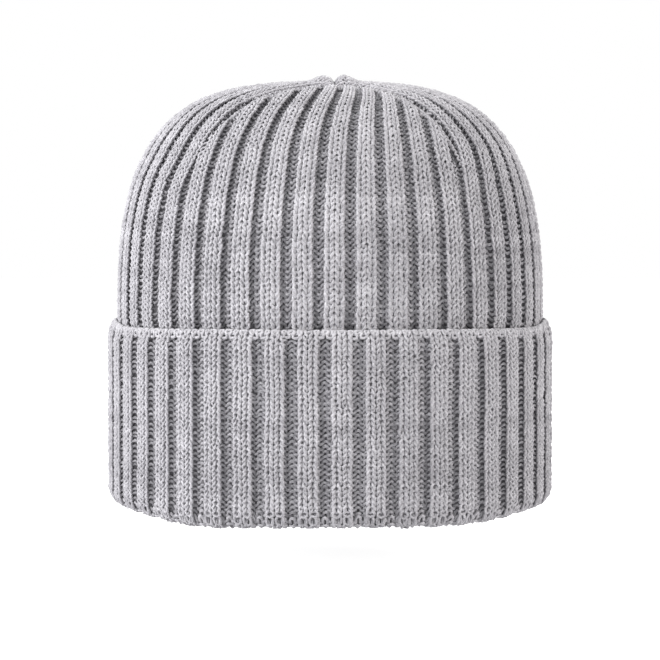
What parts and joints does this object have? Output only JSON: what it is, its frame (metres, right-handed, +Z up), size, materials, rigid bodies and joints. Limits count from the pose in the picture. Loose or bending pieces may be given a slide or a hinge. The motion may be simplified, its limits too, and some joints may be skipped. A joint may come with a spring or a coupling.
{
  "type": "knit beanie",
  "caption": "Thick ribbed knit hat with a domed, darted crown, a deep turned-up cuff and an open head cavity; the cuff tugs down and a blank care label swings inside.",
  "frame": {"origin": "centre of the brim, on the surface that the hat stands on", "axes": "+Z up through the crown, the front of the hat faces -Y, +X is to the right seen from the front"},
  "size_m": [0.19, 0.19, 0.181],
  "materials": {
    "rib_knit": "matte heathered rib knit",
    "seam_yarn": "matte knitting yarn",
    "label_tape": "soft woven satin tape",
    "label_thread": "fine sewing thread"
  },
  "bodies": {
    "crown": {"front_gore": "rib_knit", "left_gore": "rib_knit", "right_gore": "rib_knit", "back_left_gore": "rib_knit", "back_right_gore": "rib_knit", "front_left_dart_seam": "seam_yarn", "front_right_dart_seam": "seam_yarn", "back_left_dart_seam": "seam_yarn", "back_right_dart_seam": "seam_yarn", "top_seam": "seam_yarn", "back_seam": "seam_yarn", "side_wall": "rib_knit", "label_stitches": "label_thread"},
    "cuff": {"brim_fold": "rib_knit", "cuff": "rib_knit", "cuff_edge": "rib_knit", "cuff_back_seam": "seam_yarn"},
    "label": {"care_label": "label_tape"}
  },
  "joints": [
    {"name": "cuff_slide", "type": "slide", "parent": "crown", "child": "cuff", "axis": [0, 0, 1], "range_m": [-0.02, 0]},
    {"name": "label_swing", "type": "hinge", "parent": "crown", "child": "label", "pos_m": [0, 0.0858, 0.056], "axis": [0, 0, -1], "range_deg": [0, 162]}
  ]
}
